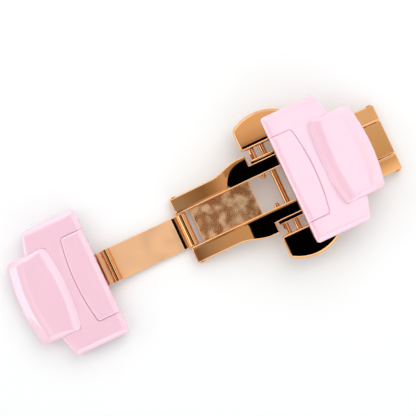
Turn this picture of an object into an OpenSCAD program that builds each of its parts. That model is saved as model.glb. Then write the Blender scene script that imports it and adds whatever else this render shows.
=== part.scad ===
// Push-button folding clasp for a ceramic watch bracelet, drawn as in use on a bench:
// the left wing lies open and the right wing is folded shut. Millimetres.
// X runs along the clasp towards the shut wing, Y towards the back button, Z up.
// The origin is below the middle of the whole length, on the surface that it lies on.

/* [Frame] */
// Distance between the two hinge pins in the frame
hinge_span = 32; // [31.4:0.2:33.2]
// Radius of the arch that the top of the frame follows
arch_r = 42; // [40:0.5:46]
// Thickness of the side rails
rail_t = 1.7; // [1.6:0.05:1.9]
// Width of a rail beside its hinge
rail_w = 2.5; // [2.2:0.05:2.8]
// Width of a rail at its flare, next to the buttons
flare_w = 3.55; // [3.4:0.05:3.8]
// Width of the slot between the rails
slot_w = 5.3; // [5.25:0.05:5.7]
// Length of the open window in the middle of the frame
window_l = 9.8; // [9.7:0.1:10.6]
// Thickness of the two floor plates
floor_t = 0.6; // [0.5:0.05:0.65]
// Length that a rail reaches past its hinge pin
rail_over = 0.65; // [0.5:0.05:0.8]
// Width of the solid part of a rail inside the button notch
block_w = 2; // [1.8:0.05:2.2]
// Width of the low ledge outside that part
ledge_w = 0.6; // [0.5:0.05:0.7]

/* [Buttons] */
// Length of a button along the clasp
button_l = 7.9; // [7.2:0.1:8.1]
// Depth of a button at its middle
button_depth = 4.65; // [4.4:0.05:5.2]
// Depth of the straight sides of a button
button_side = 3.4; // [3:0.05:3.8]
// Thickness of a button at its inner face
button_t = 2.55; // [2.4:0.05:2.7]
// Travel of a button when it is pressed
button_travel = 0.6; // [0.4:0.05:0.8]
// Gap that is left between a pressed button and the rails' flares
button_stop = 0.05; // [0.05:0.01:0.15]
// Distance between the two guide rods
rod_pitch = 1.8; // [1.4:0.1:2]
// Distance between the two catch pins of a button
catch_pitch = 5.1; // [5:0.05:5.3]
// Diameter of the guide rods and catch pins
rod_d = 0.9; // [0.8:0.02:0.94]
// Length that a catch pin stands out into the slot
catch_out = 0.65; // [0.4:0.05:0.8]

/* [Wings] */
// Width of a wing's blade
blade_w = 5.1; // [4.6:0.05:5.15]
// Thickness of a wing's blade
blade_t = 0.8; // [0.7:0.05:0.85]
// Radius of the hinge barrel at the frame
barrel_r = 0.8; // [0.75:0.05:0.9]
// Radius of the hinge barrel at the link
link_barrel_r = 0.75; // [0.7:0.05:0.85]
// Width of the hinge barrel at the link
link_barrel_w = 3.4; // [3:0.1:3.6]
// Diameter of the hinge pins
hinge_pin_d = 0.8; // [0.6:0.05:0.9]
// Radius of the rounded catch bar under a blade
catch_r = 0.7; // [0.6:0.05:0.75]
// Distance of a shut catch bar from the middle of the clasp
catch_x = 3.85; // [3.82:0.01:3.95]
// Distance of a shut link's pin from the middle of the clasp
link_pin_x = 1.5; // [1.4:0.05:1.7]
// Angle between a shut and an open wing
open_angle = 163.5; // [160:0.5:166]

/* [Ceramic links] */
// Width of the outer link
link_w = 20; // [19:0.25:22]
// Length of the outer link at its corners
link_l = 8.4; // [8:0.1:9]
// Width of the centre link
centre_w = 13.2; // [12:0.1:14]
// Length from the near face of the outer link to the far end of the centre link
link_reach = 13.2; // [12.8:0.1:14]
// Height of the outer link above its hinge pin
link_top = 2.45; // [2.3:0.05:2.8]
// Height that the crown of the centre link stands above the outer link
centre_rise = 0.2; // [0.1:0.05:0.5]
// Width of the cover bar
bar_w = 13.4; // [12:0.1:15]
// Depth of the cover bar at its ends
bar_l = 3.4; // [3:0.1:3.8]
// Height that the cover bar stands above the outer link
bar_rise = 0.3; // [0.1:0.05:0.5]
// Gap between the near faces of two shut links
close_gap = 0.9; // [0.6:0.05:1.2]
// Diameter of the bore that takes the next bracelet link's pin
bracelet_bore_d = 1; // [0.8:0.05:1.2]

/* [Hidden] */

$fn = 48;
arch_fn = 360;
eps = 0.01;

// Clearances: a pin that turns or slides, a pin that is pressed in, and shut parts
run_gap = 0.03;
press_gap = 0.01;
lay_gap = 0.15;
link_clear = 0.2;
seam = 0.06;

// The arch: its centre is straight below the middle of the clasp
hinge_x = hinge_span / 2;
hinge_z = 1.1;
hinge_r = arch_r - rail_t / 2;
arch_z = hinge_z - sqrt(hinge_r * hinge_r - hinge_x * hinge_x);
frame_top = arch_z + arch_r;
floor_top_r = arch_r - rail_t + floor_t;
blade_in_r = floor_top_r + lay_gap;
blade_out_r = blade_in_r + blade_t;
blade_mid_r = blade_in_r + blade_t / 2;

// Rail outline
rail_end = hinge_x + rail_over;
notch_in = 0.2;
notch_l = button_l - 2 * notch_in;
flare_top_l = 1.2;
flare_slope_l = 4.9;
flare_steps = 12;
ledge_drop = 0.62;
ledge_gap = 0.4;
over = 1;
block_y = slot_w / 2 + block_w;
ledge_y = block_y + ledge_w;
floor_gap = 0.6;
floor_end = hinge_x - barrel_r - floor_gap;

// Button and its pins
button_y = slot_w / 2 + flare_w + button_travel + button_stop;
button_drop = 0.27;
button_top = frame_top - button_drop;
button_crown_r = 55;
button_arc_h = button_depth - button_side;
button_arc_r = (button_l * button_l / 4 + button_arc_h * button_arc_h) / (2 * button_arc_h);
rod_r = rod_d / 2;
pin_drop = 1.62;
pin_z = frame_top - pin_drop;
block_skin = 0.42;
block_bottom = pin_z - rod_r - run_gap - block_skin;
rod_in_button = 1.4;
rod_l = 2 * (button_y + rod_in_button);
spring_solid_l = 0.8;
guide_depth = rod_in_button + button_travel + spring_solid_l;
catch_in_button = 2;
catch_tip_y = slot_w / 2 - catch_out;
spring_r = 0.31;
spring_wire_r = 0.07;
spring_turns = 3.5;
spring_l = guide_depth - rod_in_button;

// Wing: the neck rises from the end of the blade to the link's pin
link_pin_r = arch_r + link_clear;
link_pin_z = arch_z + sqrt(link_pin_r * link_pin_r - link_pin_x * link_pin_x);
neck_run = 1.3;
neck_x = link_pin_x + neck_run;
neck_z = arch_z + sqrt(blade_mid_r * blade_mid_r - neck_x * neck_x);
neck_l = norm([neck_run, link_pin_z - neck_z]);
neck_angle = atan2(link_pin_z - neck_z, -neck_run);
neck_clear = link_barrel_r + 0.4;
catch_groove_h = 0.5;
catch_groove_d = 0.2;
catch_rise = 0.1;
hinge_pin_r = hinge_pin_d / 2;
hinge_pin_out = 0.2;
hinge_pin_l = slot_w + 2 * rail_w + 2 * hinge_pin_out;

// The open wing's link pin, and how far the links reach below their pins
wing_l = norm([hinge_x - link_pin_x, link_pin_z - hinge_z]);
shut_angle = atan2(link_pin_z - hinge_z, hinge_x - link_pin_x);
open_pin_x = -hinge_x + wing_l * cos(shut_angle + open_angle);
open_pin_z = hinge_z + wing_l * sin(shut_angle + open_angle);
link_floor = open_pin_z;

// Link outline, measured from the link's pin towards its far end
near_x = close_gap / 2 - link_pin_x;
far_arc_r = 28;
outer_corner_x = near_x + link_l;
outer_arc_x = outer_corner_x + far_arc_r - sqrt(far_arc_r * far_arc_r - link_w * link_w / 4);
centre_far_x = near_x + link_reach;
centre_start = 5.5;
centre_near_x = near_x + centre_start;
centre_arc_r = 34;
centre_top = link_top + centre_rise;
centre_crown_r = 20;
centre_crown_l = 4.2;
centre_crown_x = centre_near_x + centre_crown_l;
far_bevel_l = 1.4;
far_bevel_h = 1.35;
far_bevel_drop = 0.4;
link_slope = 0.35;
edge_r = 0.7;
valley_r = 9;
valley_depth = 0.16;
valley_start = 5.1;
valley_x = near_x + valley_start;
bar_bulge = 0.7;
bar_arc_r = (bar_w * bar_w / 4 + bar_bulge * bar_bulge) / (2 * bar_bulge);
bar_seat = 1.4;
bar_edge_r = 0.35;
pocket_top = 1.05;
pocket_l = 3.1;
pocket_far_x = near_x + pocket_l;
lug_gap = 0.1;
lug_in = link_barrel_w / 2 + lug_gap;
lug_out = slot_w / 2 - lay_gap;
pocket_half = blade_w / 2 + lug_gap;
link_pin_l = 2 * lug_out;
cross_pin_r = 0.45;
cross_pin_start = 7.45;
cross_pin_x = near_x + cross_pin_start;
cross_pin_z = 0.7;
cross_pin_inset = 0.3;
cross_pin_l = link_w - 2 * cross_pin_inset;
bracelet_inset = 1.65;
bracelet_x = centre_far_x - bracelet_inset;
bracelet_z = 0.25;

// The whole is centred along X
x_low = open_pin_x - centre_far_x;
x_high = rail_end;
shift_x = -(x_low + x_high) / 2;
echo(left_hinge = [shift_x - hinge_x, 0, hinge_z], right_hinge = [shift_x + hinge_x, 0, hinge_z]);
echo(left_link_pin = [shift_x + open_pin_x, 0, open_pin_z]);
echo(right_link_pin = [shift_x + link_pin_x, 0, link_pin_z]);
echo(left_bore = [shift_x + open_pin_x - bracelet_x, 0, open_pin_z + bracelet_z]);
echo(right_bore = [shift_x + link_pin_x + bracelet_x, 0, link_pin_z + bracelet_z]);
echo(shift_x = shift_x, length = x_high - x_low, frame_top = frame_top, pin_z = pin_z);
echo(button_y = button_y, floor_end = floor_end, link_floor = link_floor, near_x = near_x);

function rail_outer(x) =
    let (top_x = notch_l / 2 + flare_top_l, t = (abs(x) - top_x) / flare_slope_l)
    slot_w / 2 + (t <= 0 ? flare_w : t >= 1 ? rail_w
        : rail_w + (flare_w - rail_w) * (1 + cos(180 * t)) / 2);

// Stands a side view (X across, Z up) up and gives it a width along Y
module across(w) {
    rotate([90, 0, 0]) linear_extrude(height = w, center = true) children();
}

// Stands an end view (Y across, Z up) up and gives it a length along X
module along(x_from, x_to) {
    translate([x_from, 0, 0]) rotate([90, 0, 90]) linear_extrude(height = x_to - x_from) children();
}

// A rod along Y from y_from to y_to, at x and z
module rod(r, x, z, y_from, y_to) {
    translate([x, y_from, z]) rotate([-90, 0, 0]) cylinder(r = r, h = y_to - y_from);
}

module arch_disc(r) {
    translate([0, arch_z]) circle(r = r, $fn = arch_fn);
}

// Side view of a band that follows the arch
module arch_band(r_out, r_in, x_from, x_to) {
    intersection() {
        difference() {
            arch_disc(r_out);
            arch_disc(r_in);
        }
        translate([x_from, 0]) square([x_to - x_from, frame_top + over]);
    }
}

module placed() {
    translate([shift_x, 0, 0]) children();
}

// The right side's parts, mirrored for the left and swung open about its hinge
module left_open() {
    placed() translate([-hinge_x, 0, hinge_z]) rotate([0, -open_angle, 0])
        translate([hinge_x, 0, -hinge_z]) mirror([1, 0, 0]) children();
}

module left_link() {
    placed() translate([open_pin_x, 0, open_pin_z]) mirror([1, 0, 0]) children();
}

module right_link() {
    placed() translate([link_pin_x, 0, link_pin_z]) children();
}

// Frame
module rail_plan() {
    slope_x = notch_l / 2 + flare_top_l + flare_slope_l;
    right_slope = [for (i = [0:flare_steps])
        let (x = slope_x - flare_slope_l * i / flare_steps) [x, rail_outer(x)]];
    right_side = concat([[rail_end, rail_outer(rail_end)]], right_slope,
        [[notch_l / 2, rail_outer(notch_l / 2)], [notch_l / 2, block_y],
        [notch_l / 2 - ledge_gap, block_y], [notch_l / 2 - ledge_gap, ledge_y]]);
    left_side = [for (i = [len(right_side) - 1:-1:0]) [-right_side[i][0], right_side[i][1]]];
    polygon(concat([[-rail_end, slot_w / 2], [rail_end, slot_w / 2]], right_side, left_side));
}

module rail_side_view() {
    block_half = notch_l / 2 + flare_top_l / 2;
    arch_band(arch_r, arch_r - rail_t, -rail_end, rail_end);
    intersection() {
        arch_disc(arch_r);
        translate([-block_half, block_bottom])
            square([2 * block_half, frame_top - block_bottom + over]);
    }
}

module rail() {
    reach = ledge_y + flare_w;
    color("peru") placed() difference() {
        intersection() {
            linear_extrude(height = frame_top + over) rail_plan();
            across(2 * reach) rail_side_view();
        }
        translate([-notch_l / 2 - eps, block_y, frame_top - ledge_drop])
            cube([notch_l + 2 * eps, ledge_w + over, ledge_drop + over]);
        for (side = [-1, 1]) {
            rod(hinge_pin_r + press_gap, side * hinge_x, hinge_z, 0, reach);
            rod(rod_r + press_gap, side * rod_pitch / 2, pin_z, 0, reach);
            rod(rod_r + run_gap, side * catch_pitch / 2, pin_z, 0, reach);
        }
    }
}

module floor_plate(side) {
    color("burlywood") placed() across(slot_w) mirror([side < 0 ? 1 : 0, 0])
        arch_band(floor_top_r, arch_r - rail_t, window_l / 2, floor_end);
}

module frame_hinge_pin(side) {
    color("sienna") placed()
        rod(hinge_pin_r, side * hinge_x, hinge_z, -hinge_pin_l / 2, hinge_pin_l / 2);
}

module guide_rod(side) {
    color("sienna") placed()
        rod(rod_r, side * rod_pitch / 2, pin_z, -rod_l / 2, rod_l / 2);
}

// Buttons, drawn at the back and mirrored for the front
module button_plan() {
    arc_y = button_y + button_depth - button_arc_r;
    intersection() {
        translate([-button_l / 2, button_y]) square([button_l, button_depth]);
        translate([0, arc_y]) circle(r = button_arc_r, $fn = 96);
    }
}

module button() {
    crown_z = button_top - sqrt(button_crown_r * button_crown_r - button_y * button_y);
    color("peru") placed() difference() {
        intersection() {
            translate([0, 0, button_top - button_t]) linear_extrude(height = button_t) button_plan();
            along(-button_l, button_l) translate([0, crown_z])
                circle(r = button_crown_r, $fn = arch_fn);
        }
        for (side = [-1, 1]) {
            rod(rod_r + run_gap, side * rod_pitch / 2, pin_z, button_y - over, button_y + guide_depth);
            rod(rod_r + press_gap, side * catch_pitch / 2, pin_z,
                button_y - over, button_y + catch_in_button);
        }
    }
}

module catch_pin(side) {
    nose_l = rod_r / 2;
    color("sienna") placed() {
        rod(rod_r, side * catch_pitch / 2, pin_z, catch_tip_y + nose_l, button_y + catch_in_button);
        translate([side * catch_pitch / 2, catch_tip_y + nose_l, pin_z]) rotate([90, 0, 0])
            cylinder(r1 = rod_r, r2 = rod_r - nose_l, h = nose_l);
    }
}

// A coil along Y from y_from, as one unbroken tube
module coil(r, wire_r, length, turns) {
    ring_sides = 6;
    ring_count = ceil(turns * 8) + 1;
    pitch_l = length - 2 * wire_r;
    points = [for (i = [0:ring_count - 1], k = [0:ring_sides - 1])
        let (t = i / (ring_count - 1), a = 360 * turns * t, b = 360 * k / ring_sides,
            reach = r + wire_r * cos(b))
        [reach * cos(a), wire_r + pitch_l * t + wire_r * sin(b), reach * sin(a)]];
    walls = [for (i = [0:ring_count - 2], k = [0:ring_sides - 1])
        let (n = (k + 1) % ring_sides, low = i * ring_sides, high = low + ring_sides)
        each [[low + k, high + k, high + n], [low + k, high + n, low + n]]];
    last = (ring_count - 1) * ring_sides;
    start_cap = [for (k = [1:ring_sides - 2]) [0, k, k + 1]];
    end_cap = [for (k = [1:ring_sides - 2]) [last, last + k + 1, last + k]];
    polyhedron(points = points, faces = concat(walls, start_cap, end_cap), convexity = 8);
}

module spring(side) {
    color("silver") placed() translate([side * rod_pitch / 2, button_y + rod_in_button, pin_z])
        coil(spring_r, spring_wire_r, spring_l, spring_turns);
}

// Wings, drawn shut on the right. The barrel at the frame is cut flush with the rails' ends
module barrel_side_view() {
    intersection() {
        union() {
            translate([hinge_x, hinge_z]) circle(r = barrel_r);
            translate([hinge_x, hinge_z]) square([barrel_r, barrel_r]);
        }
        arch_disc(blade_out_r);
        square([rail_end, frame_top]);
    }
}

module neck_side_view(l) {
    translate([neck_x, neck_z]) {
        circle(r = blade_t / 2);
        rotate(neck_angle) translate([0, -blade_t / 2]) square([l, blade_t]);
    }
}

module wing_blade() {
    color("sandybrown") difference() {
        union() {
            across(blade_w) {
                arch_band(blade_out_r, blade_in_r, neck_x, hinge_x);
                barrel_side_view();
                neck_side_view(neck_l - neck_clear);
            }
            across(link_barrel_w) {
                neck_side_view(neck_l);
                translate([link_pin_x, link_pin_z]) circle(r = link_barrel_r);
            }
        }
        rod(hinge_pin_r + run_gap, hinge_x, hinge_z, -blade_w, blade_w);
        rod(hinge_pin_r + run_gap, link_pin_x, link_pin_z, -blade_w, blade_w);
    }
}

module catch_bar() {
    bar_z = pin_z + catch_rise;
    color("sandybrown") across(blade_w) difference() {
        intersection() {
            union() {
                translate([catch_x, bar_z]) circle(r = catch_r);
                translate([catch_x - catch_r, bar_z]) square([2 * catch_r, frame_top - bar_z]);
            }
            arch_disc(blade_in_r);
        }
        translate([catch_x - catch_r - eps, pin_z - catch_groove_h / 2])
            square([catch_groove_d + eps, catch_groove_h]);
    }
}

// Ceramic links, drawn from the link's pin with the far end towards +X
module rounded(r) {
    offset(r = r) offset(delta = -r) children();
}

module outer_plan() {
    rounded(edge_r) intersection() {
        translate([near_x, -link_w / 2]) square([link_reach, link_w]);
        translate([outer_arc_x - far_arc_r, 0]) circle(r = far_arc_r, $fn = 180);
    }
}

module centre_plan(grow) {
    intersection() {
        translate([centre_near_x - over, -centre_w / 2 - grow])
            square([link_reach, centre_w + 2 * grow]);
        translate([centre_far_x - far_arc_r, 0]) circle(r = far_arc_r + grow, $fn = 180);
        translate([centre_near_x + centre_arc_r, 0]) circle(r = centre_arc_r + grow, $fn = 180);
    }
}

module bar_plan(grow) {
    bar_far_x = near_x + bar_l + bar_bulge;
    intersection() {
        translate([near_x - grow, -bar_w / 2 - grow])
            square([bar_l + bar_bulge + 2 * grow, bar_w + 2 * grow]);
        translate([bar_far_x - bar_arc_r, 0]) circle(r = bar_arc_r + grow, $fn = 180);
    }
}

// What lies below a link: the frame's arch with its clearance, and the floor
module under_link() {
    translate([-link_pin_x, arch_z - link_pin_z]) circle(r = link_pin_r, $fn = arch_fn);
}

module outer_side_view() {
    far_x = near_x + link_reach;
    difference() {
        polygon([[near_x, -link_floor], [far_x, -link_floor],
            [far_x, link_top - link_slope], [near_x, link_top]]);
        under_link();
        translate([valley_x, link_top - link_slope / 2 - valley_depth + valley_r])
            circle(r = valley_r, $fn = 180);
    }
}

module end_view(w, top) {
    translate([0, -link_floor]) rounded(edge_r) translate([-w / 2, 0]) square([w, link_floor + top]);
}

module lug_side_view() {
    circle(r = link_barrel_r);
    translate([-link_barrel_r, 0]) square([2 * link_barrel_r, pocket_top + eps]);
}

module outer_link() {
    color("lightpink") difference() {
        union() {
            difference() {
                intersection() {
                    translate([0, 0, -link_floor])
                        linear_extrude(height = link_floor + link_top) outer_plan();
                    across(link_w) outer_side_view();
                    along(near_x, near_x + link_reach) end_view(link_w, link_top);
                }
                translate([0, 0, -link_floor - over])
                    linear_extrude(height = link_floor + centre_top + 2 * over) centre_plan(seam);
                translate([0, 0, bar_seat]) linear_extrude(height = link_top) {
                    bar_plan(seam);
                    translate([near_x - over, -bar_w / 2 - seam]) square([2 * over, bar_w + 2 * seam]);
                }
                translate([near_x - over, -pocket_half, -link_floor - over])
                    cube([pocket_l + over, 2 * pocket_half, link_floor + over + pocket_top]);
            }
            for (side = [-1, 1]) translate([0, side * (lug_in + lug_out) / 2, 0])
                across(lug_out - lug_in) lug_side_view();
        }
        rod(hinge_pin_r + press_gap, 0, 0, -pocket_half, pocket_half);
        rod(cross_pin_r + press_gap, cross_pin_x, cross_pin_z, -link_w, link_w);
    }
}

module centre_side_view() {
    crown_z = centre_top - centre_crown_r;
    difference() {
        intersection() {
            translate([centre_near_x - over, -link_floor]) square([link_reach, link_floor + centre_top]);
            translate([centre_crown_x, crown_z]) circle(r = centre_crown_r, $fn = 180);
        }
        under_link();
        translate([centre_far_x, centre_top - far_bevel_h - far_bevel_drop])
            rotate(-atan2(far_bevel_h, far_bevel_l))
            translate([-link_reach / 2, 0]) square([link_reach, link_reach / 2]);
    }
}

module centre_link() {
    color("pink") difference() {
        intersection() {
            translate([0, 0, -link_floor])
                linear_extrude(height = link_floor + centre_top) rounded(edge_r) centre_plan(0);
            across(centre_w) centre_side_view();
            along(centre_near_x - over, centre_far_x + over) end_view(centre_w, centre_top);
        }
        rod(cross_pin_r + press_gap, cross_pin_x, cross_pin_z, -centre_w, centre_w);
        rod(bracelet_bore_d / 2, bracelet_x, bracelet_z, -centre_w, centre_w);
    }
}

module cover_bar() {
    bar_top = link_top + bar_rise;
    color("lavenderblush") intersection() {
        translate([0, 0, bar_seat])
            linear_extrude(height = bar_top - bar_seat) rounded(bar_edge_r) bar_plan(0);
        along(near_x, near_x + bar_l + bar_bulge) translate([0, bar_seat - over]) rounded(bar_edge_r)
            translate([-bar_w / 2, 0]) square([bar_w, bar_top - bar_seat + over]);
        across(bar_w) translate([0, bar_seat - over]) rounded(bar_edge_r)
            translate([near_x, 0]) square([bar_l + bar_bulge, bar_top - bar_seat + over]);
    }
}

module link_hinge_pin() {
    color("sienna") rod(hinge_pin_r, 0, 0, -link_pin_l / 2, link_pin_l / 2);
}

module cross_pin() {
    color("sienna") rod(cross_pin_r, cross_pin_x, cross_pin_z, -cross_pin_l / 2, cross_pin_l / 2);
}

mirror([0, 1, 0]) rail();  // front_rail
rail();  // back_rail
floor_plate(-1);  // left_floor_plate
floor_plate(1);  // right_floor_plate
frame_hinge_pin(-1);  // left_frame_hinge_pin
frame_hinge_pin(1);  // right_frame_hinge_pin
guide_rod(-1);  // left_guide_rod
guide_rod(1);  // right_guide_rod
mirror([0, 1, 0]) button();  // front_button
mirror([0, 1, 0]) catch_pin(-1);  // front_left_catch_pin
mirror([0, 1, 0]) catch_pin(1);  // front_right_catch_pin
button();  // back_button
catch_pin(-1);  // back_left_catch_pin
catch_pin(1);  // back_right_catch_pin
mirror([0, 1, 0]) spring(-1);  // front_left_spring
mirror([0, 1, 0]) spring(1);  // front_right_spring
spring(-1);  // back_left_spring
spring(1);  // back_right_spring
left_open() wing_blade();  // left_wing_blade
left_open() catch_bar();  // left_catch_bar
placed() wing_blade();  // right_wing_blade
placed() catch_bar();  // right_catch_bar
left_link() link_hinge_pin();  // left_link_hinge_pin
left_link() outer_link();  // left_outer_link
left_link() centre_link();  // left_centre_link
left_link() cover_bar();  // left_cover_bar
left_link() cross_pin();  // left_cross_pin
right_link() link_hinge_pin();  // right_link_hinge_pin
right_link() outer_link();  // right_outer_link
right_link() centre_link();  // right_centre_link
right_link() cover_bar();  // right_cover_bar
right_link() cross_pin();  // right_cross_pin
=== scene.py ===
"""Looks for a push-button folding clasp of a pink ceramic watch bracelet."""

import math

import bmesh
import bpy
from mathutils import Matrix, Vector


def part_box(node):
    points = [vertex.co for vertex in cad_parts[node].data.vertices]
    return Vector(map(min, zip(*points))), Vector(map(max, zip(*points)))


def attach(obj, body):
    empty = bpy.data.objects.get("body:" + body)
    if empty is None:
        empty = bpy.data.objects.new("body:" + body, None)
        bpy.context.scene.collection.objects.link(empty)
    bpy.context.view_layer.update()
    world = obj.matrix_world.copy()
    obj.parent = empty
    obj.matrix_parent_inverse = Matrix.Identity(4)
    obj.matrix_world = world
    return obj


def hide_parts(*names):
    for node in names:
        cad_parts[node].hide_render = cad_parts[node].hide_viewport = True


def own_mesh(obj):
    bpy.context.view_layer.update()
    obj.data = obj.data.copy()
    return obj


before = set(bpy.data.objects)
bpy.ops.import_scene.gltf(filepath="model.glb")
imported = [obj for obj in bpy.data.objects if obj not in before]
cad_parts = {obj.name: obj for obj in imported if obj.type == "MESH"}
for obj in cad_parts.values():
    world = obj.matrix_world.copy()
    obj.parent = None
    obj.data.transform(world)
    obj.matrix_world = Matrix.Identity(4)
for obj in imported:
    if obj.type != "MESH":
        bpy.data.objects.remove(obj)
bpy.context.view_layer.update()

MM = 0.001
SIDES = {"left": -1, "right": 1}


def middle_of(node):
    """The middle of a CAD node's box."""
    low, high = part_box(node)
    return (Vector(low) + Vector(high)) / 2


# The outer link in millimetres, measured from its hinge pin as in the part's source
NEAR_X = -1.05
LINK_W = 20.0
LINK_L = 8.4
LINK_REACH = 13.2               # from the outer link's near edge to the centre link's far edge
LINK_TOP = 2.45
LINK_SLOPE = 0.35
LINK_FLOOR = middle_of("left_link_hinge_pin").z / MM
LINK_CORNER = 0.5
FAR_ARC_R = 28.0
BASE_ROUND = 0.2
VALLEY_X = NEAR_X + 5.1
VALLEY_DEPTH = 0.16
VALLEY_R = 9.0
VALLEY_END = 2.2                # the valley ends this far from the link's ends
VALLEY_FADE = 4.0               # and fades away over this length before that

# The centre link: its dome, and the long bevel on its far side
CENTRE_W = 13.2
CENTRE_NEAR_X = NEAR_X + 5.5
CENTRE_FAR_X = NEAR_X + LINK_REACH
CENTRE_NEAR_R = 34.0
CENTRE_CORNER = 0.6
CENTRE_SLOT_CORNER = 0.5
CENTRE_TOP = 2.65
CENTRE_CROWN_L = 1.8
CENTRE_NEAR_ROUND = 3.9
CENTRE_FAR_ROUND = 60.0
CENTRE_GROWTH_L = 2.6
CENTRE_GROWTH_FROM = 0.1
BEVEL_L = 1.4
BEVEL_H = 0.95
BEVEL_FOOT = 0.3
BEVEL_BLEND = 0.5

# The cover bar, and the seam and the groove around it
BAR_W = 13.4
BAR_L = 3.4
BAR_BULGE = 0.7
BAR_ARC_R = (BAR_W ** 2 / 4 + BAR_BULGE ** 2) / (2 * BAR_BULGE)
BAR_CORNER = 0.35
BAR_RECESS_CORNER = 0.4
BAR_BASE_ROUND = 0.05
BAR_SEAT = 1.4
BAR_TOP = 2.75
BAR_TILT = 0.035
BAR_CROWN = 0.0012
SEAM = 0.004
GROOVE = 0.11
GROOVE_DEPTH = 0.2
GROOVE_CORNER = 0.45

# Softened rims of the ceramic: width and height, and a power of 2 where they are round and not bevelled
OUTER_NEAR_RIM = (0.65, 0.42)
OUTER_END_RIM = (0.85, 0.46)
OUTER_FAR_RIM = (0.8, 0.42)
CENTRE_NEAR_RIM = (0.16, 0.06, 2)
CENTRE_END_RIM = (0.85, 0.52)
CENTRE_FAR_RIM = (0.3, 0.28, 2)
BAR_NEAR_RIM = (0.75, 0.5)
BAR_RIM = (0.32, 0.2, 2)

# The link's bores as x, z and radius, its pocket and its lugs
CROSS_PIN = (NEAR_X + 7.45, 0.7, 0.46)
BRACELET_BORE = (CENTRE_FAR_X - 1.65, 0.25, 0.5)
HINGE_BORE_R = 0.41
POCKET_L = 3.1
POCKET_TOP = 1.05
POCKET_HALF = 2.65
LUG_IN = 1.8
LUG_OUT = 2.5
LUG_R = 0.75
LUG_ROOT = 0.1

# Cutting tools reach from well below a link to well above it, and past its edges
CUT_LOW, CUT_HIGH = -4, 6
CUT_PAST = 1

# The arch that a link's underside follows: its radius, and how far back and down from the pin its middle lies
ARCH_R = 42.2
ARCH_X = 1.5
ARCH_DROP = math.sqrt(ARCH_R ** 2 - ARCH_X ** 2)

# The rails' tops: the arch, the crown across it and the flat bevel along the slot
RAIL_R = 42.0
FRAME_X = middle_of("front_rail").x / MM
CROWN_R = 55.0
CROWN_CUTS = (2.88, 3.02, 3.12, 3.4, 3.7, 4.0, 4.3, 4.6, 4.9, 5.2, 5.5, 5.8)
CROWN_DEPTH = 0.3               # what lies deeper below the arch than this keeps its place
TOP_DEPTH = 0.4                 # faces down to this depth belong to the top
TOP_MATCH = math.cos(math.radians(4))   # and lie this near to its true slope
SLOT_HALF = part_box("back_rail")[0][1] / MM
SLOT_WALL_SKIN = 0.1            # a face this near to the slot's side still belongs to it
SLOT_BEVEL_Y = 3.07
SLOT_BEVEL_SLOPE = 0.21

# The ledge in a rail's button notch: where it lies across, how low and how long it is, and its outer edge
LEDGE_Y = (4.7, 5.4)
LEDGE_Z = 3.5
LEDGE_HALF = 3.6
LEDGE_EDGE_Y = 5.15
LEDGE_EDGE_HALF = 2.5

# Where a wing's finishes change, as distances from its hinge pins: its inner side is ground up to the
# polished line, and it is polished around the link's pin
GROUND_FROM = 0.75
HINGE_LINE = (1.38, 1.6)
LINK_END = 1.25

# A face belongs to one of these sides when more than this share of its normal points that way
UNDERSIDE = 0.5
SLOT_WALL = 0.7
PLATE_END = 0.45
WING_SIDE = 0.3
WING_INSIDE = 0.9

# In metres, how near corners are welded and how near one counts as on a cutting plane. Then which facets are
# flush, which edges are eased, and up to which angle faces are shaded as one surface
WELD = 1e-6
ON_PLANE = 1e-7
FLUSH = math.radians(0.4)
EDGE_ANGLE = math.radians(32)
METAL_SMOOTH = math.radians(38)
CERAMIC_SMOOTH = math.radians(40)
WIRE_SMOOTH = math.radians(50)

# The studio in millimetres: the paper, and the heights of the cards above the clasp. No two cards that
# overlap share a plane
PAPER_HALF = 1500
PAPER_GAP = 0.02                # the paper lies this far below the clasp, for the same reason
CAMERA_HEIGHT = 250
SHEET_HEIGHT = 254
ROOM_HEIGHT = 256
WINDOW_HEIGHT = 270
SIDE_WINDOW_HEIGHT = 272

# The camera that takes the picture, fitted to the photograph: the picture's width and the focal length in
# pixels, its place in metres, and the ways that its back and the picture's upper edge face
PHOTO_W = 416
FOCAL_LENGTH = 2000
CAMERA_PLACE = (0.005475, -0.0081, 0.2977)
CAMERA_BACK = (0.0137, -0.0329, 0.9994)
PICTURE_UP = (0.4239, 0.9054, 0.024)


# Colours and materials

def linear(code):
    """An sRGB hex colour as linear RGBA."""
    parts = [int(code[i:i + 2], 16) / 255 for i in (1, 3, 5)]
    return tuple(c / 12.92 if c <= 0.04045 else ((c + 0.055) / 1.055) ** 2.4 for c in parts) + (1.0,)


def add(tree, kind, inputs=None, **settings):
    """Adds a node, sets its properties, and gives its inputs values or links from other nodes' sockets."""
    node = tree.nodes.new(kind)
    for name, value in settings.items():
        setattr(node, name, value)
    for name, value in (inputs or {}).items():
        if isinstance(value, bpy.types.NodeSocket):
            tree.links.new(value, node.inputs[name])
        else:
            node.inputs[name].default_value = value
    return node


def add_object(name, data):
    """Puts new data into the scene as an object."""
    thing = bpy.data.objects.new(name, data)
    bpy.context.scene.collection.objects.link(thing)
    return thing


def new_material(name):
    """A new material and its empty node tree."""
    material = bpy.data.materials.new(name)
    material.use_nodes = True
    material.node_tree.nodes.clear()
    return material, material.node_tree


def pattern_scale(size):
    """The scale of a pattern whose cells have this size in millimetres."""
    return 1 / (size * MM)


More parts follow.
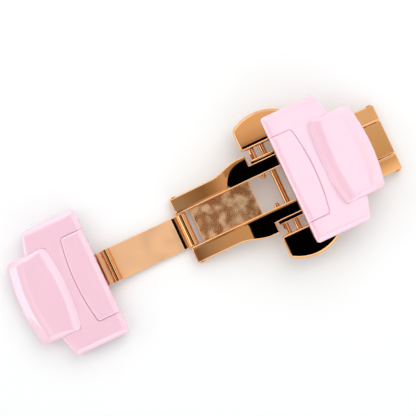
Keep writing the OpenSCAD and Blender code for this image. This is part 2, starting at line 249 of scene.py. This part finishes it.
def rose_gold(name, bright, deep, roughness, scratch, metallic=1.0):
    """Steel with a rose gold coating, from a clean mirror with faint wiping marks to a satin face."""
    material, tree = new_material(name)
    place = add(tree, "ShaderNodeTexCoord").outputs["Object"]
    # Wiping marks are far too fine to show, so they are drawn 0.25 mm apart and very shallow. The haze that a
    # cloth leaves drifts over about 3 mm
    marks = add(tree, "ShaderNodeTexNoise", {
        "Vector": place, "Scale": pattern_scale(0.25), "Detail": 4.0, "Roughness": 0.6})
    haze = add(tree, "ShaderNodeTexNoise", {"Vector": place, "Scale": pattern_scale(2.86), "Detail": 2.0})
    rough = add(tree, "ShaderNodeMapRange", {
        "Value": haze.outputs["Fac"], "From Min": 0.3, "From Max": 0.7,
        "To Min": roughness * 0.7, "To Max": roughness * 1.4})
    relief = add(tree, "ShaderNodeBump", {
        "Height": marks.outputs["Fac"], "Strength": scratch, "Distance": 0.002 * MM})
    tone = add(tree, "ShaderNodeMix", {
        "Factor": haze.outputs["Fac"], "A": linear(bright), "B": linear(deep)}, data_type="RGBA")
    shader = add(tree, "ShaderNodeBsdfPrincipled", {
        "Base Color": tone.outputs["Result"], "Metallic": metallic, "Roughness": rough.outputs["Result"],
        "Normal": relief.outputs["Normal"]})
    add(tree, "ShaderNodeOutputMaterial", {"Surface": shader.outputs["BSDF"]})
    return material


def circular_grained_rose_gold():
    """Perlage: rows of overlapping discs, each rubbed round with an abrasive rod."""
    material, tree = new_material("circular_grained_rose_gold")
    # Millimetres between the discs and between a disc's rings, and its radius as a share of the pitch. The
    # rings that the grit rubs are about 0.05 mm apart, and are drawn coarser to show
    pitch, rings, disc = 1.5, 0.3, 0.76
    place = add(tree, "ShaderNodeTexCoord").outputs["Object"]
    tiles = add(tree, "ShaderNodeMapping", {
        "Vector": place, "Scale": (pattern_scale(pitch), pattern_scale(pitch), 0.0),
        "Location": (0.3, 0.5, 0.0)})
    cell = add(tree, "ShaderNodeVectorMath", {0: tiles.outputs["Vector"]}, operation="FRACTION").outputs[0]
    spoke = None
    # Each disc covers the ones before it, so the last one that reaches a point is the one that shows
    for corner in ((0, 1, 0), (1, 1, 0), (0, 0, 0), (1, 0, 0)):
        arm = add(tree, "ShaderNodeVectorMath", {0: cell, 1: corner}, operation="SUBTRACT").outputs[0]
        if spoke is None:
            spoke = arm
            continue
        reach = add(tree, "ShaderNodeVectorMath", {0: arm}, operation="LENGTH").outputs["Value"]
        covers = add(tree, "ShaderNodeMath", {0: reach, 1: disc}, operation="LESS_THAN").outputs[0]
        spoke = add(tree, "ShaderNodeMix", {"Factor": covers, "A": spoke, "B": arm},
                    data_type="VECTOR").outputs[1]
    radius = add(tree, "ShaderNodeVectorMath", {0: spoke}, operation="LENGTH").outputs["Value"]
    turns = add(tree, "ShaderNodeMath", {0: radius, 1: 2 * math.pi * pitch / rings}, operation="MULTIPLY")
    wave = add(tree, "ShaderNodeMath", {0: turns.outputs[0]}, operation="SINE").outputs[0]
    round_way = add(tree, "ShaderNodeVectorRotate", {"Vector": spoke, "Angle": math.pi / 2},
                    rotation_type="Z_AXIS")
    relief = add(tree, "ShaderNodeBump", {"Height": wave, "Strength": 0.2, "Distance": 0.02 * MM})
    # A painted sheen: the tone drifts between dark and pale over 2 to 3 mm, standing in for the way each disc
    # catches the light
    painted_sheen = add(tree, "ShaderNodeTexNoise", {"Vector": place, "Scale": pattern_scale(1.43), "Detail": 2.0})
    level = add(tree, "ShaderNodeMapRange", {
        "Value": painted_sheen.outputs["Fac"], "From Min": 0.38, "From Max": 0.62, "To Min": 0.08, "To Max": 0.9})
    level = add(tree, "ShaderNodeMath", {0: wave, 1: 0.17, 2: level.outputs["Result"]},
                operation="MULTIPLY_ADD", use_clamp=True)
    colour = add(tree, "ShaderNodeMix", {
        "Factor": level.outputs[0], "A": linear("#a5693a"), "B": linear("#fbd3a8")}, data_type="RGBA")
    shader = add(tree, "ShaderNodeBsdfPrincipled", {
        "Base Color": colour.outputs["Result"], "Metallic": 0.8, "Roughness": 0.32, "Anisotropic": 0.75,
        "Tangent": round_way.outputs["Vector"], "Normal": relief.outputs["Normal"]})
    add(tree, "ShaderNodeOutputMaterial", {"Surface": shader.outputs["BSDF"]})
    return material


def polished_zirconia():
    """Pink zirconia, sintered and polished: a dense opaque ceramic with a hard wet gloss and soft depth."""
    material, tree = new_material("polished_zirconia")
    place = add(tree, "ShaderNodeTexCoord").outputs["Object"]
    cloud = add(tree, "ShaderNodeTexNoise", {"Vector": place, "Scale": pattern_scale(3.85), "Detail": 3.0})
    tone = add(tree, "ShaderNodeMix", {
        "Factor": cloud.outputs["Fac"], "A": linear("#f6cfdc"), "B": linear("#f4c9d8")}, data_type="RGBA")
    # A polished face still waves a little over a few millimetres
    relief = add(tree, "ShaderNodeBump", {
        "Height": cloud.outputs["Fac"], "Strength": 0.06, "Distance": 0.02 * MM})
    shader = add(tree, "ShaderNodeBsdfPrincipled", {
        "Base Color": tone.outputs["Result"], "Roughness": 0.07, "IOR": 2.15,
        "Subsurface Weight": 0.25, "Subsurface Radius": (1.0, 0.6, 0.6), "Subsurface Scale": 0.6 * MM,
        "Normal": relief.outputs["Normal"]})
    add(tree, "ShaderNodeOutputMaterial", {"Surface": shader.outputs["BSDF"]})
    return material


def drawn_spring_steel():
    """Bare drawn spring wire: grey steel whose gloss is broken by the marks of the drawing die."""
    material, tree = new_material("drawn_spring_steel")
    place = add(tree, "ShaderNodeTexCoord").outputs["Object"]
    # The marks are finer than the render shows, and are drawn 0.17 mm apart
    marks = add(tree, "ShaderNodeTexNoise", {"Vector": place, "Scale": pattern_scale(0.167), "Detail": 2.0})
    rough = add(tree, "ShaderNodeMapRange", {"Value": marks.outputs["Fac"], "To Min": 0.25, "To Max": 0.45})
    shader = add(tree, "ShaderNodeBsdfPrincipled", {
        "Base Color": linear("#b9b8b6"), "Metallic": 1.0, "Roughness": rough.outputs["Result"]})
    add(tree, "ShaderNodeOutputMaterial", {"Surface": shader.outputs["BSDF"]})
    return material


MIRROR = rose_gold("polished_rose_gold", "#f5bb85", "#f2b379", roughness=0.03, scratch=0.02)
# A blasted face scatters light from every side, which a half metallic shader stands in for
SATIN = rose_gold("satin_rose_gold", "#efc094", "#e9b685", roughness=0.45, scratch=0.3, metallic=0.5)
PIN = rose_gold("ground_rose_gold_pin", "#f3b77f", "#efae72", roughness=0.12, scratch=0.1)
GRAINED = circular_grained_rose_gold()
CERAMIC = polished_zirconia()
WIRE = drawn_spring_steel()


# Metal pieces

def new_piece(name, mesh, material, body, slot, *nodes):
    """Puts a mesh into the scene as a piece that rides on a body and stands for CAD nodes."""
    piece = add_object(name, mesh)
    mesh.materials.clear()
    mesh.materials.append(material)
    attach(piece, body)
    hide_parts(*nodes)
    return piece


def eased(node, body, material, slot, edge, kept=None, even=True):
    """A CAD node with its outer edges eased to a small round, as polishing does. kept tells which stay."""
    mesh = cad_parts[node].data.copy()
    work = bmesh.new()
    work.from_mesh(mesh)
    bmesh.ops.remove_doubles(work, verts=work.verts, dist=WELD)
    bmesh.ops.dissolve_limit(work, angle_limit=FLUSH, verts=work.verts, edges=work.edges)
    sharp = [e for e in work.edges if len(e.link_faces) == 2 and e.is_convex
             and e.calc_face_angle(0) > EDGE_ANGLE
             and not (kept and kept((e.verts[0].co + e.verts[1].co) / 2 / MM))]
    bmesh.ops.bevel(work, geom=sharp, offset=edge * MM, segments=3, profile=0.5, affect="EDGES",
                    clamp_overlap=False)
    bmesh.ops.recalc_face_normals(work, faces=work.faces)
    work.to_mesh(mesh)
    work.free()
    mesh.name = node + "_eased"
    mesh.shade_smooth()
    mesh.set_sharp_from_angle(angle=METAL_SMOOTH)
    piece = new_piece(node + "_eased", mesh, material, body, slot, node)
    if even:
        piece.modifiers.new("even_shading", "WEIGHTED_NORMAL").keep_sharp = True
    return piece


def cut_faces(work, place, facing):
    """Cuts every face of a mesh where a plane crosses it."""
    bmesh.ops.bisect_plane(work, geom=work.verts[:] + work.edges[:] + work.faces[:], dist=ON_PLANE,
                           plane_co=place, plane_no=facing)


def crown_top(piece):
    """Gives a rail's top its slight crown across the clasp, and the flat bevel along the slot."""
    arch_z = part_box("front_rail")[1][2] / MM - RAIL_R

    def depth(place):
        return RAIL_R - math.hypot(place.x - FRAME_X, place.z - arch_z)

    def true_normal(place, bevelled):
        arch = Vector((place.x - FRAME_X, 0, place.z - arch_z)).normalized()
        across = place.y / CROWN_R - math.copysign(SLOT_BEVEL_SLOPE if bevelled else 0.0, place.y)
        return (arch + Vector((0, across, 0))).normalized()

    # The drop is full in the upper half of its depth, and fades out below that
    mesh = piece.data
    work = bmesh.new()
    work.from_mesh(mesh)
    for cut in CROWN_CUTS:
        for way in (-1, 1):
            cut_faces(work, (0, way * cut * MM, 0), (0, 1, 0))
    for vert in work.verts:
        place = vert.co / MM
        if depth(place) < CROWN_DEPTH:
            drop = ((place.y ** 2 - SLOT_HALF ** 2) / (2 * CROWN_R)
                    + max(0.0, SLOT_BEVEL_Y - abs(place.y)) * SLOT_BEVEL_SLOPE)
            vert.co.z -= drop * MM * min(1.0, 2 * (1 - depth(place) / CROWN_DEPTH))
    work.to_mesh(mesh)
    work.free()

    # The top's own normals, so that what it mirrors keeps smooth edges across the mesh's long faces
    normals = [Vector(corner.vector) for corner in mesh.corner_normals]
    for face in mesh.polygons:
        middle = face.center / MM
        bevelled = abs(middle.y) < SLOT_BEVEL_Y
        if depth(middle) < TOP_DEPTH and face.normal.dot(true_normal(middle, bevelled)) > TOP_MATCH:
            for loop in face.loop_indices:
                corner = mesh.vertices[mesh.loops[loop].vertex_index].co / MM
                normals[loop] = true_normal(corner, bevelled)
    mesh.normals_split_custom_set(normals)


def on_ledge(place):
    """Whether a point lies on the low ledge in a rail's button notch, its long outer edge left out."""
    along, across = abs(place.x - FRAME_X), abs(place.y)
    outer_edge = across > LEDGE_EDGE_Y and along < LEDGE_EDGE_HALF
    return LEDGE_Y[0] < across < LEDGE_Y[1] and place.z > LEDGE_Z and along < LEDGE_HALF and not outer_edge


def finish_faces(piece, material, chosen):
    """Gives a piece's chosen faces another finish."""
    piece.data.materials.append(material)
    for face in piece.data.polygons:
        if chosen(face):
            face.material_index = len(piece.data.materials) - 1
    return piece


def underneath(face):
    """Faces that nobody sees in wear, and that are left satin: the underside and the walls of the slot."""
    beside_slot = abs(face.center.y) < (SLOT_HALF + SLOT_WALL_SKIN) * MM
    return face.normal.z < -UNDERSIDE or (beside_slot and abs(face.normal.y) > SLOT_WALL)


def wing_polish(pins, outwards):
    """A wing's polished faces: its outer side, its edges and its two ends. Its inner side stays satin."""
    def chosen(face):
        from_frame, from_link = [math.hypot(face.center.x - pin.x, face.center.z - pin.z) for pin in pins]
        at_end = from_frame < HINGE_LINE[1] * MM or from_link < LINK_END * MM
        return at_end or face.normal.z * outwards > WING_SIDE or abs(face.normal.y) > WING_SIDE
    return chosen


def cut_across(piece, pin, distances):
    """Cuts a wing's faces across at these distances from its frame hinge pin.

    At rest both wings lead towards -X from that pin.
    """
    work = bmesh.new()
    work.from_mesh(piece.data)
    for distance in distances:
        cut_faces(work, (pin.x - distance * MM, 0, 0), (1, 0, 0))
    work.to_mesh(piece.data)
    work.free()
    return piece


def spring(node):
    """A return spring: a smooth-shaded copy of the CAD node's wire, which rides on the frame."""
    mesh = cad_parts[node].data.copy()
    mesh.name = node + "_wire"
    mesh.shade_smooth()
    mesh.set_sharp_from_angle(angle=WIRE_SMOOTH)
    piece = new_piece(mesh.name, mesh, WIRE, "frame", "spring_steel", node)
    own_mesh(piece)


for rail in ("front_rail", "back_rail"):
    piece = eased(rail, "frame", MIRROR, "rose_gold_steel", edge=0.16, kept=on_ledge, even=False)
    crown_top(finish_faces(piece, SATIN, underneath))
for button in ("front_button", "back_button"):
    eased(button, button, MIRROR, "rose_gold_steel", edge=0.42)
for side in SIDES:
    wing = side + "_wing"
    plate = eased(side + "_floor_plate", "frame", GRAINED, "grained_rose_gold_steel", edge=0.2)
    finish_faces(plate, SATIN, lambda face: abs(face.normal.x) > PLATE_END or underneath(face))
    eased(side + "_frame_hinge_pin", "frame", PIN, "pin_steel", edge=0.06)
    eased(side + "_guide_rod", "frame", PIN, "pin_steel", edge=0.06)
    pins = [middle_of(side + "_frame_hinge_pin"), middle_of(side + "_link_hinge_pin")]
    blade = eased(wing + "_blade", wing, SATIN, "rose_gold_steel", edge=0.11)
    finish_faces(cut_across(blade, pins[0], HINGE_LINE), MIRROR, wing_polish(pins, SIDES[side]))
    finish_faces(blade, PIN, lambda face: face.normal.z * SIDES[side] < -WING_INSIDE
                 and GROUND_FROM * MM < pins[0].x - face.center.x < HINGE_LINE[0] * MM)
    eased(side + "_catch_bar", wing, MIRROR, "rose_gold_steel", edge=0.05)
    for way in ("front", "back"):
        eased(f"{way}_{side}_catch_pin", way + "_button", PIN, "pin_steel", edge=0.05)
        spring(f"{way}_{side}_spring")
    # The pins inside the links are right as they are, and only get their finish
    for hidden in ("_link_hinge_pin", "_cross_pin"):
        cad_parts[side + hidden].data.materials.clear()
        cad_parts[side + hidden].data.materials.append(PIN)


# Ceramic pieces

def link_outline(near, far, half_w, corner, steps=8, runs=28, ends=16, near_corner=True):
    """A link's outline from above, counter-clockwise. near and far give the two long edges' x at a y.

    steps, runs and ends are the numbers of stretches in a corner, a long edge and an end.
    """
    reach = half_w - corner
    turn = [math.sin(math.pi / 2 * i / steps) for i in range(steps + 1)]
    ys = ([-reach - corner * t for t in reversed(turn)]
          + [-reach + 2 * reach * i / runs for i in range(1, runs)]
          + [reach + corner * t for t in turn])

    def cut_in(y):
        past = max(0.0, abs(y) - reach)
        return corner - math.sqrt(max(0.0, corner ** 2 - past ** 2))

    far_side = [(far(y) - cut_in(y), y) for y in ys]
    near_side = [(near(y) + (cut_in(y) if near_corner else 0), y) for y in reversed(ys)]
    points = []
    for run, following in ((far_side, near_side), (near_side, far_side)):
        points += run
        (x0, y0), (x1, y1) = run[-1], following[0]
        shares = [(1 - math.cos(math.pi * i / ends)) / 2 for i in range(1, ends)]
        points += [(x0 + (x1 - x0) * t, y0 + (y1 - y0) * t) for t in shares]
    return points


def inward(points):
    """The unit direction into the shape at each point of an outline."""
    ways = []
    for i in range(len(points)):
        (xa, ya), (xb, yb) = points[i - 1], points[(i + 1) % len(points)]
        size = math.hypot(xb - xa, yb - ya)
        ways.append((-(yb - ya) / size, (xb - xa) / size))
    return ways


def loft(layers):
    """A closed form through layers of points, each layer a ring of the same length, lowest first."""
    work = bmesh.new()
    rings = [[work.verts.new(Vector(point) * MM) for point in layer] for layer in layers]
    count = len(rings[0])
    for low, high in zip(rings, rings[1:]):
        for i in range(count):
            k = (i + 1) % count
            work.faces.new((low[i], low[k], high[k], high[i]))
    for ring, flip in ((rings[0], True), (rings[-1], False)):
        middle = work.verts.new(sum((v.co for v in ring), Vector()) / count)
        for i in range(count):
            k = (i + 1) % count
            work.faces.new((ring[k], ring[i], middle) if flip else (ring[i], ring[k], middle))
    mesh = bpy.data.meshes.new("loft")
    work.to_mesh(mesh)
    work.free()
    return mesh


def ceramic_blank(points, top, bottom, base_round, turns=5):
    """A form that stands on an outline, with a curved top and a flat or curved base with a rounded rim."""
    ways = inward(points)
    middle = sum(x for x, _ in points) / len(points)

    def ring(inset, height, keep=1.0):
        placed = [(x + way_x * inset, y + way_y * inset) for (x, y), (way_x, way_y) in zip(points, ways)]
        placed = [(middle + (x - middle) * keep, y * keep) for x, y in placed]
        return [(x, y, height(x, y)) for x, y in placed]

    base_keeps = (0.2, 0.5, 0.8)
    layers = [ring(base_round, bottom, keep) for keep in base_keeps]
    for step in range(turns, -1, -1):
        turn = math.pi / 2 * step / turns
        rise = base_round * (1 - math.sin(turn))
        layers.append(ring(base_round * (1 - math.cos(turn)), lambda x, y: bottom(x, y) + rise))
    # The top's rings lie close together near the edge, where the rims fall away
    edge_share, edge_rings, inner_rings = 0.24, 20, 18
    keeps = [1 - edge_share * (i / edge_rings) ** 2 for i in range(edge_rings + 1)]
    keeps += [(1 - edge_share) * (1 - i / inner_rings) for i in range(1, inner_rings)]
    return loft(layers + [ring(0.0, top, keep) for keep in keeps])


def prism(points, low, high):
    """An upright tool on an outline, from one height to another."""
    return loft([[(x, y, low) for x, y in points], [(x, y, high) for x, y in points]])


def box(x, y, z):
    """A square tool between two values on each axis."""
    return prism([(x[1], y[0]), (x[1], y[1]), (x[0], y[1]), (x[0], y[0])], *z)


def rod(radius, x, z, y_from, y_to, sides=32):
    """A round tool that lies along Y."""
    turns = [2 * math.pi * i / sides for i in range(sides)]
    return loft([[(x + radius * math.cos(turn), y, z + radius * math.sin(turn)) for turn in turns]
                 for y in (y_to, y_from)])


def machined(mesh, *steps):
    """Cuts or joins meshes in turn and returns the result. Each step is (operation, tool mesh)."""
    blank = add_object("blank", mesh)
    tools = []
    for operation, tool_mesh in steps:
        tools.append(add_object("tool", tool_mesh))
        modifier = blank.modifiers.new("step", "BOOLEAN")
        modifier.operation, modifier.solver, modifier.object = operation, "EXACT", tools[-1]
    bpy.context.view_layer.update()
    result = bpy.data.meshes.new_from_object(blank.evaluated_get(bpy.context.evaluated_depsgraph_get()))
    for spare in (blank, *tools):
        bpy.data.objects.remove(spare)
    return result


def arc_x(apex, radius, bend):
    """x of an arc's edge at a y: the arc bulges towards +x if bend is 1 and towards -x if it is -1."""
    return lambda y: apex - bend * (radius - math.sqrt(radius ** 2 - y ** 2))


def soft_min(a, b, blend):
    """The lower of two heights, with the crease between them rounded."""
    closeness = max(0.0, blend - abs(a - b)) / blend
    return min(a, b) - closeness * closeness * blend / 4


def arch_below(x, y):
    """Underside of a link: it follows the frame's arch, and is flat where that would be below the surface."""
    return max(-LINK_FLOOR, math.sqrt(ARCH_R ** 2 - (x + ARCH_X) ** 2) - ARCH_DROP)


def rim_fall(distance, width, height, power=1.4):
    """How far a softened bevel has fallen at a distance from its edge. A power of 2 makes it round."""
    past = 1 - min(1.0, max(0.0, distance) / width)
    return height * (1 - (1 - past ** power) ** (1 / power))


def rims_together(*falls, power=4):
    """Bevels that meet at a corner, blended into one."""
    return sum(fall ** power for fall in falls) ** (1 / power)


def outer_top(x, y):
    """Height of the outer link's top: a slight slope, with a shallow valley beside the centre link."""
    slope = LINK_TOP - LINK_SLOPE * (x - NEAR_X) / LINK_REACH
    dip = max(0.0, VALLEY_DEPTH - (x - VALLEY_X) ** 2 / (2 * VALLEY_R))
    fade = min(1.0, max(0.0, (LINK_W / 2 - VALLEY_END - abs(y)) / VALLEY_FADE))
    return slope - dip * fade * fade * (3 - 2 * fade) - rims_together(
        rim_fall(x - NEAR_X, *OUTER_NEAR_RIM), rim_fall(LINK_W / 2 - abs(y), *OUTER_END_RIM),
        rim_fall(outer_far(y) - x, *OUTER_FAR_RIM))


def centre_top(x, y):
    """Height of the centre link's top: a dome, rounder on its near side, and a long bevel on its far side."""
    past = x - centre_near(y) - CENTRE_CROWN_L
    dome = CENTRE_TOP - past ** 2 / (2 * (CENTRE_NEAR_ROUND if past < 0 else CENTRE_FAR_ROUND))
    ramp = CENTRE_TOP - BEVEL_H - BEVEL_FOOT + (centre_far(y) - x) * BEVEL_H / BEVEL_L
    # The bevels at the ends start small beside the outer link's top, and grow as the dome rises over it
    grown = min(1.0, max(CENTRE_GROWTH_FROM, (x - centre_near(y)) / CENTRE_GROWTH_L))
    end_rim = [size * grown for size in CENTRE_END_RIM]
    return soft_min(dome, ramp, BEVEL_BLEND) - rims_together(
        rim_fall(x - centre_near(y), *CENTRE_NEAR_RIM), rim_fall(CENTRE_W / 2 - abs(y), *end_rim),
        rim_fall(centre_far(y) - x, *CENTRE_FAR_RIM))


def bar_top(x, y):
    """Height of the cover bar's top, which is tilted and crowned a little."""
    return BAR_TOP - BAR_TILT * (x - NEAR_X) - BAR_CROWN * y * y - rims_together(
        rim_fall(x - NEAR_X, *BAR_NEAR_RIM), rim_fall(BAR_W / 2 - abs(y), *BAR_RIM),
        rim_fall(bar_far(y) - x, *BAR_RIM))


outer_far = arc_x(NEAR_X + LINK_L + FAR_ARC_R - math.sqrt(FAR_ARC_R ** 2 - LINK_W ** 2 / 4), FAR_ARC_R, 1)
centre_near, centre_far = arc_x(CENTRE_NEAR_X, CENTRE_NEAR_R, -1), arc_x(CENTRE_FAR_X, FAR_ARC_R, 1)
bar_far = arc_x(NEAR_X + BAR_L + BAR_BULGE, BAR_ARC_R, 1)

outer_plan = link_outline(lambda y: NEAR_X, outer_far, LINK_W / 2, LINK_CORNER)
centre_plan = link_outline(centre_near, centre_far, CENTRE_W / 2, CENTRE_CORNER)
bar_plan = link_outline(lambda y: NEAR_X, bar_far, BAR_W / 2, BAR_CORNER, near_corner=False)
# What is cut out of the outer link for the other two, and the groove around the bar
centre_slot = link_outline(lambda y: centre_near(y) - SEAM, lambda y: centre_far(y) + CUT_PAST,
                           CENTRE_W / 2 + SEAM, CENTRE_SLOT_CORNER)
bar_recess = link_outline(lambda y: NEAR_X - CUT_PAST, lambda y: bar_far(y) + SEAM,
                          BAR_W / 2 + SEAM, BAR_RECESS_CORNER)
bar_groove = link_outline(lambda y: NEAR_X - CUT_PAST, lambda y: bar_far(y) + GROOVE,
                          BAR_W / 2 + GROOVE, GROOVE_CORNER)

lugs = []
for way in (-1, 1):
    y_low, y_high = sorted((way * LUG_IN, way * LUG_OUT))
    lugs.append(("UNION", rod(LUG_R, 0, 0, y_low, y_high)))
    lugs.append(("UNION", box((-LUG_R, LUG_R), (y_low, y_high), (0, POCKET_TOP + LUG_ROOT))))

cross_bore = ("DIFFERENCE", rod(CROSS_PIN[2], CROSS_PIN[0], CROSS_PIN[1], -LINK_W, LINK_W))
groove = loft([[(x, y, outer_top(x, y) - GROOVE_DEPTH) for x, y in bar_groove],
               [(x, y, CUT_HIGH) for x, y in bar_groove]])
pocket = box((NEAR_X - CUT_PAST, NEAR_X + POCKET_L), (-POCKET_HALF, POCKET_HALF), (CUT_LOW, POCKET_TOP))
link_meshes = {
    "outer_link": machined(
        ceramic_blank(outer_plan, outer_top, arch_below, BASE_ROUND),
        ("DIFFERENCE", prism(centre_slot, CUT_LOW, CUT_HIGH)),
        ("DIFFERENCE", prism(bar_recess, BAR_SEAT, CUT_HIGH)),
        ("DIFFERENCE", groove),
        ("DIFFERENCE", pocket),
        *lugs,
        ("DIFFERENCE", rod(HINGE_BORE_R, 0, 0, -POCKET_HALF, POCKET_HALF)),
        cross_bore),
    "centre_link": machined(
        ceramic_blank(centre_plan, centre_top, arch_below, BASE_ROUND),
        cross_bore,
        ("DIFFERENCE", rod(BRACELET_BORE[2], BRACELET_BORE[0], BRACELET_BORE[1], -LINK_W, LINK_W))),
    "cover_bar": ceramic_blank(bar_plan, bar_top, lambda x, y: BAR_SEAT, BAR_BASE_ROUND),
}

for side, way in SIDES.items():
    placing = Matrix.Translation(middle_of(side + "_link_hinge_pin")) @ Matrix.Diagonal((way, 1, 1, 1))
    for kind, shape in link_meshes.items():
        mesh = shape.copy()
        mesh.transform(placing)
        if way < 0:
            mesh.flip_normals()
        mesh.name = f"{side}_{kind}_polished"
        mesh.shade_smooth()
        mesh.set_sharp_from_angle(angle=CERAMIC_SMOOTH)
        new_piece(mesh.name, mesh, CERAMIC, side + "_link", "pink_ceramic", f"{side}_{kind}")


# Surface, light and camera

def level_card(name, corners, height, material):
    """A level card of the studio, in millimetres."""
    mesh = bpy.data.meshes.new(name)
    mesh.from_pydata([(x * MM, y * MM, height * MM) for x, y in corners], [], [range(len(corners))])
    mesh.materials.append(material)
    piece = add_object(name, mesh)
    return piece


def oblong(x, y):
    """The corners of a rectangle between two values on each axis."""
    return [(x[0], y[0]), (x[1], y[0]), (x[1], y[1]), (x[0], y[1])]


def background_seen(tree):
    """1 for the camera's rays, mirrored rays and rays through clear things, and 0 for all others."""
    rays = add(tree, "ShaderNodeLightPath")
    seen = rays.outputs["Is Camera Ray"]
    for kind in ("Is Glossy Ray", "Is Transmission Ray"):
        seen = add(tree, "ShaderNodeMath", {0: seen, 1: rays.outputs[kind]}, operation="MAXIMUM").outputs[0]
    return seen


def plain_surface():
    """White studio paper. The camera and mirrors see it almost white, with the clasp's soft shadow."""
    material, tree = new_material("white_studio_paper")
    paper = add(tree, "ShaderNodeBsdfDiffuse", {"Color": linear("#ecedec")})
    glow = add(tree, "ShaderNodeEmission", {"Color": linear("#fdfefd"), "Strength": 1.0})
    share = add(tree, "ShaderNodeMath", {0: background_seen(tree), 1: 0.1}, operation="MULTIPLY")
    both = add(tree, "ShaderNodeMixShader", {
        0: share.outputs[0], 1: paper.outputs["BSDF"], 2: glow.outputs["Emission"]})
    # From below the paper isn't there, so that the clasp's underside can be looked at
    clear = add(tree, "ShaderNodeBsdfTransparent")
    below = add(tree, "ShaderNodeMixShader", {
        0: add(tree, "ShaderNodeNewGeometry").outputs["Backfacing"], 1: both.outputs["Shader"],
        2: clear.outputs["BSDF"]})
    add(tree, "ShaderNodeOutputMaterial", {"Surface": below.outputs["Shader"]})
    return material


def mirrored_card(name, corners, height, shades, along="X", strength=1.0):
    """A card above the clasp that only its glossy faces see. shades run from its low to its high edge."""
    material, tree = new_material(name)
    place = add(tree, "ShaderNodeTexCoord").outputs["Generated"]
    axis = add(tree, "ShaderNodeSeparateXYZ", {0: place}).outputs[along]
    ramp = add(tree, "ShaderNodeValToRGB", {0: axis})
    stops = ramp.color_ramp.elements
    stops[0].position, stops[0].color = shades[0][0], linear(shades[0][1])
    stops[1].position, stops[1].color = shades[-1][0], linear(shades[-1][1])
    for position, shade in shades[1:-1]:
        stops.new(position).color = linear(shade)
    glow = add(tree, "ShaderNodeEmission", {"Color": ramp.outputs["Color"], "Strength": strength})
    add(tree, "ShaderNodeOutputMaterial", {"Surface": glow.outputs["Emission"]})
    piece = level_card(name, corners, height, material)
    piece.visible_camera = piece.visible_diffuse = piece.visible_shadow = False
    piece.visible_transmission = piece.visible_volume_scatter = False


level_card("studio_surface", oblong((-PAPER_HALF, PAPER_HALF), (-PAPER_HALF, PAPER_HALF)), -PAPER_GAP,
           plain_surface())

# What stands above the clasp: the dark camera and its arm, the warm dim room, and windows. A card's shades
# are its colours at shares of its width
BLACK = [(0.0, "#020202"), (1.0, "#020202")]
WINDOW = [(0.0, "#fdfbff"), (1.0, "#fdfbff")]
mirrored_card("camera", [
    (33, 70), (-41, 71), (-56, 70), (-67, 68), (-76, 64), (-85, 57), (-92, 48), (-96, 36), (-90, -20),
    (-87, -33), (-90, -60), (-95, -150), (100, -150), (100, -60), (33, -60)], CAMERA_HEIGHT, BLACK)
mirrored_card("room_back_left", oblong((-400, 0), (0, 170)), ROOM_HEIGHT, [
    (0.0, "#b5b0ae"), (0.375, "#a5a09e"), (0.52, "#968874"), (0.6, "#8c7c66"), (0.675, "#a8977e"),
    (0.75, "#d4c4b0"), (1.0, "#d4c4b0")])
mirrored_card("room_front_left", oblong((-400, 0), (-300, 0)), ROOM_HEIGHT, [
    (0.0, "#7c6e5e"), (0.325, "#85776a"), (0.45, "#aba398"), (0.6, "#c4b9ab"), (0.725, "#cdc1b0"),
    (1.0, "#d4c8b4")])
mirrored_card("room_behind", oblong((-92, 200), (60, 175)), SHEET_HEIGHT, [
    (0.0, "#ac9a82"), (0.25, "#b8a68e"), (0.5, "#e8dccb"), (1.0, "#f2e9dc")], along="Y")
mirrored_card("room_right", oblong((130, 500), (-110, 200)), ROOM_HEIGHT, [
    (0.0, "#ffffff"), (0.16, "#fffff8"), (0.24, "#cfc4ae"), (0.35, "#c8bfa4"), (0.48, "#e3e2dc"),
    (1.0, "#e6e2d8")], along="Y", strength=1.05)
mirrored_card("sheet_front", oblong((-330, 100), (-400, -148)), SHEET_HEIGHT, WINDOW, strength=1.6)
mirrored_card("window_behind", oblong((-900, 28), (300, 1300)), WINDOW_HEIGHT, WINDOW, strength=1.7)
mirrored_card("window_left", oblong((-1500, -410), (-50, 900)), SIDE_WINDOW_HEIGHT, WINDOW, strength=2.2)
mirrored_card("window_front", oblong((36, 900), (-1300, -310)), WINDOW_HEIGHT, WINDOW, strength=1.5)

world = bpy.data.worlds.new("studio")
bpy.context.scene.world = world
world.use_nodes = True
world.node_tree.nodes.clear()
fill = add(world.node_tree, "ShaderNodeBackground", {"Color": linear("#f4f4f6"), "Strength": 0.72})
white = add(world.node_tree, "ShaderNodeBackground", {"Color": linear("#ffffff"), "Strength": 1.0})
sky = add(world.node_tree, "ShaderNodeMixShader", {
    0: background_seen(world.node_tree), 1: fill.outputs["Background"], 2: white.outputs["Background"]})
add(world.node_tree, "ShaderNodeOutputWorld", {"Surface": sky.outputs["Shader"]})


def softbox(name, place, size, power):
    """A soft lamp. Polished faces don't mirror it: they see the cards and the white room."""
    lamp = bpy.data.lights.new(name, "AREA")
    lamp.shape, lamp.size, lamp.energy = "SQUARE", size, power
    box_light = add_object(name, lamp)
    box_light.location = place
    box_light.rotation_euler = (-Vector(place)).to_track_quat("-Z", "Y").to_euler()
    box_light.visible_glossy = False


softbox("overhead_right", (0.2, 0.16, 0.34), size=0.4, power=1.0)
softbox("overhead_left", (-0.3, 0.12, 0.4), size=0.4, power=0.55)
softbox("front_fill", (0.06, -0.4, 0.3), size=0.4, power=0.35)

camera = bpy.data.cameras.new("camera")
camera.sensor_width = 36.0
camera.lens = camera.sensor_width * FOCAL_LENGTH / PHOTO_W
camera.clip_start = 0.01
eye = add_object("camera", camera)
back = Vector(CAMERA_BACK).normalized()
right = Vector(PICTURE_UP).cross(back).normalized()
turned = Matrix((right, back.cross(right), back)).transposed().to_4x4()
eye.matrix_world = Matrix.Translation(CAMERA_PLACE) @ turned
bpy.context.scene.camera = eye
bpy.context.scene.view_settings.view_transform = "Standard"
